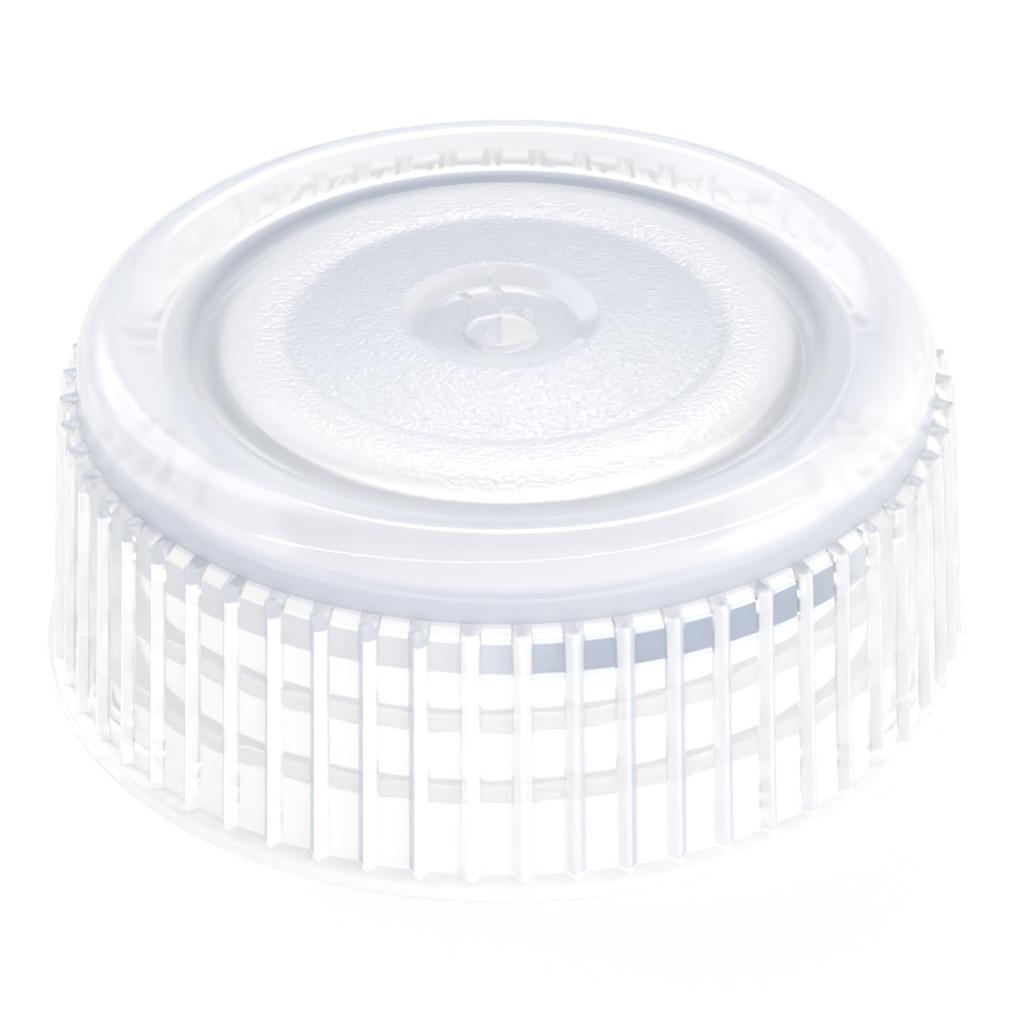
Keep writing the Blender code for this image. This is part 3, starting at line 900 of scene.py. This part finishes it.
def build_floor(look):
    """A wide floor that shows white to the eye and through the plastic, and keeps the cap's shadow."""
    mesh = bpy.data.meshes.new("floor")
    bm = bmesh.new()
    bmesh.ops.create_grid(bm, x_segments=1, y_segments=1, size=FLOOR_HALF_WIDTH)
    bmesh.ops.translate(bm, verts=bm.verts[:], vec=(0, 0, -FLOOR_DROP))
    bm.to_mesh(mesh)
    bm.free()
    floor = bpy.data.objects.new("floor", mesh)
    bpy.context.scene.collection.objects.link(floor)
    material = bpy.data.materials.new("white_sweep")
    material.use_nodes = True
    tree = material.node_tree
    tree.nodes.clear()
    path = add_node(tree, "ShaderNodeLightPath").outputs
    matt = add_node(tree, "ShaderNodeBsdfDiffuse", inputs={"Color": look.floor}).outputs[0]
    glow = add_node(tree, "ShaderNodeEmission", inputs={"Color": look.floor, "Strength": 1.0}).outputs[0]
    seen = add_node(
        tree, "ShaderNodeMath", {"operation": "MAXIMUM"},
        {0: path["Is Glossy Ray"], 1: path["Is Transmission Ray"]},
    ).outputs[0]
    faint = add_node(tree, "ShaderNodeMixShader", inputs={0: FLOOR_GLOW, 1: matt, 2: glow}).outputs[0]
    direct = add_node(
        tree, "ShaderNodeMixShader", inputs={0: path["Is Camera Ray"], 1: matt, 2: faint}
    ).outputs[0]
    surface = add_node(tree, "ShaderNodeMixShader", inputs={0: seen, 1: direct, 2: glow}).outputs[0]
    add_node(tree, "ShaderNodeOutputMaterial", inputs={"Surface": surface})
    mesh.materials.append(material)


# Soft zones of the studio: azimuth from behind the cap towards the right, elevation, radius, edge, all in
# degrees, and how bright the zone is
STUDIO_ZONES = (
    (0.0, 90.0, 26.0, 20.0, "#FCFEFF", 0.3),
    (318.0, 40.0, 22.0, 14.0, "#FBFDFF", 2.75),
    (45.0, 42.0, 22.0, 14.0, "#FFFEFA", 1.1),
    (222.0, 24.0, 20.0, 14.0, "#FBFCFF", 0.95),
    (140.0, 26.0, 20.0, 14.0, "#FFFCF6", 1.35),
    (180.0, 8.0, 30.0, 14.0, "#FFFDFD", 0.8),
    (80.0, 4.0, 34.0, 16.0, "#FFFCF4", 2.1),
    (120.0, 5.0, 12.0, 10.0, "#FFFAF2", 3.6),
    (105.0, 37.0, 20.0, 12.0, "#FAFCFF", 0.45),
    (0.0, 20.0, 22.0, 10.0, "#CEE2FF", 0.7),
    (262.0, 38.0, 22.0, 14.0, "#FAFCFF", 0.28),
    (262.0, 6.0, 16.0, 10.0, "#FBFDFF", 0.16),
    (185.0, 45.0, 34.0, 20.0, "#FFFDFC", 1.3),
    (3.0, 46.0, 8.0, 6.0, "#FFFAF2", 5.0),
    (236.0, 8.0, 5.0, 7.0, "#FEFFFF", 2.3),
)


# The arched strip light: axis of its arch, distance of the arch from the middle, half width and brightness,
# and the strength of the whole studio's light
ARCH_AXIS = (-0.297, 0.691, 0.659)
ARCH_OFFSET = -0.04
STRIP_HALF_WIDTH = 0.02
STRIP_LIGHT = 7.5
STUDIO_STRENGTH = 0.93


def build_world(look):
    """Pale surroundings with soft darker gaps between the lights, plain white where the camera sees them."""
    world = bpy.data.worlds.new("studio")
    bpy.context.scene.world = world
    world.use_nodes = True
    tree = world.node_tree
    tree.nodes.clear()
    direction = add_node(tree, "ShaderNodeTexCoord").outputs["Generated"]
    known = {"direction": direction, "light": look.surroundings}
    for azimuth, elevation, radius, edge, hex_colour, strength in STUDIO_ZONES:
        turn, rise = math.radians(azimuth), math.radians(elevation)
        inner, outer = math.radians(radius - edge / 2), math.radians(radius + edge / 2)
        axis = (math.cos(rise) * math.sin(turn), math.cos(rise) * math.cos(turn), math.sin(rise))
        tone = tuple(c * strength for c in linear(hex_colour)[:3]) + (1.0,)
        add_steps(tree, known, (
            ("near", "dot", "direction", axis),
            ("zone", "mask", "near", math.cos(outer), math.cos(inner)),
            ("light", "tint", "zone", "light", tone),
        ))

    # A long thin strip light that runs over the front of the studio in an arch
    add_steps(tree, known, (
        ("off strip", "dot", "direction", ARCH_AXIS),
        ("off strip", "SUBTRACT", "off strip", ARCH_OFFSET),
        ("off strip", "ABSOLUTE", "off strip"),
        ("strip", "mask", "off strip", 1.6 * STRIP_HALF_WIDTH, STRIP_HALF_WIDTH),
        ("ahead", "y of", "direction"),
        ("ahead", "mask", "ahead", 0.0, -0.25),
        ("strip", "MULTIPLY", "strip", "ahead"),
        ("light", "tint", "strip", "light", (STRIP_LIGHT, STRIP_LIGHT, STRIP_LIGHT, 1.0)),
    ))
    path = add_node(tree, "ShaderNodeLightPath").outputs
    around = add_node(
        tree, "ShaderNodeBackground", inputs={"Color": known["light"], "Strength": STUDIO_STRENGTH}
    ).outputs[0]
    white = add_node(
        tree, "ShaderNodeBackground", inputs={"Color": linear("#FFFFFF"), "Strength": 1.0}
    ).outputs[0]
    mixed = add_node(tree, "ShaderNodeMixShader", inputs={0: path["Is Camera Ray"], 1: around, 2: white})
    add_node(tree, "ShaderNodeOutputWorld", inputs={"Surface": mixed.outputs[0]})


# The camera that was fitted to the cap's circles in the photograph
CAMERA_ELEVATION = math.radians(32.88)
CAMERA_ROLL = math.radians(-0.34)
CAMERA_DISTANCE = 358.7 * MM
CAMERA_LENS = 239.9
CAMERA_NEAR = 0.01
SENSOR_WIDTH = 36.0
CAMERA_TARGET = Vector((0.25 * MM, 0.0, 7.66 * MM))


def build_camera(scene):
    """The photograph's viewpoint: a long lens, looking down on the front of the cap."""
    data = bpy.data.cameras.new("camera")
    data.sensor_width = SENSOR_WIDTH
    data.lens = CAMERA_LENS
    data.clip_start = CAMERA_NEAR
    camera = bpy.data.objects.new("camera", data)
    scene.collection.objects.link(camera)
    back = Vector((0.0, -math.cos(CAMERA_ELEVATION), math.sin(CAMERA_ELEVATION)))
    turn = back.to_track_quat("Z", "Y").to_matrix().to_4x4() @ Matrix.Rotation(CAMERA_ROLL, 4, "Z")
    camera.matrix_world = Matrix.Translation(CAMERA_TARGET + back * CAMERA_DISTANCE) @ turn
    scene.camera = camera


class SCREWCAP_PT_panel(Panel):
    """Sizes, finish and stage of the screw cap"""

    bl_label = "Screw Cap"
    bl_idname = "SCREWCAP_PT_panel"
    bl_space_type = "VIEW_3D"
    bl_region_type = "UI"
    bl_category = "Screw Cap"

    def draw(self, context):
        for title, group, operator in (
            ("Sizes", context.scene.screwcap_sizes, "screwcap.body"),
            ("Finish", context.scene.screwcap_finish, None),
            ("Stage", context.scene.screwcap_stage, "screwcap.stage"),
        ):
            box = self.layout.box()
            box.label(text=title)
            for name in group.bl_rna.properties.keys():
                if name not in ("rna_type", "name"):
                    box.prop(group, name)
            if operator:
                box.operator(operator)


GROUPS = {"screwcap_sizes": CapSizes, "screwcap_finish": CapFinish, "screwcap_stage": StageLook}
CLASSES = (CapSizes, CapFinish, StageLook, SCREWCAP_OT_body, SCREWCAP_OT_stage, SCREWCAP_PT_panel)


def register():
    """Add the classes and the scene's settings."""
    for cls in CLASSES:
        bpy.utils.register_class(cls)
    for name, group in GROUPS.items():
        setattr(bpy.types.Scene, name, PointerProperty(type=group))


def unregister():
    """Remove what register added."""
    for name in GROUPS:
        delattr(bpy.types.Scene, name)
    for cls in reversed(CLASSES):
        bpy.utils.unregister_class(cls)


def main():
    """Build the stage and the cap."""
    register()
    bpy.ops.screwcap.stage()
    bpy.ops.screwcap.body()


if __name__ == "__main__":
    main()
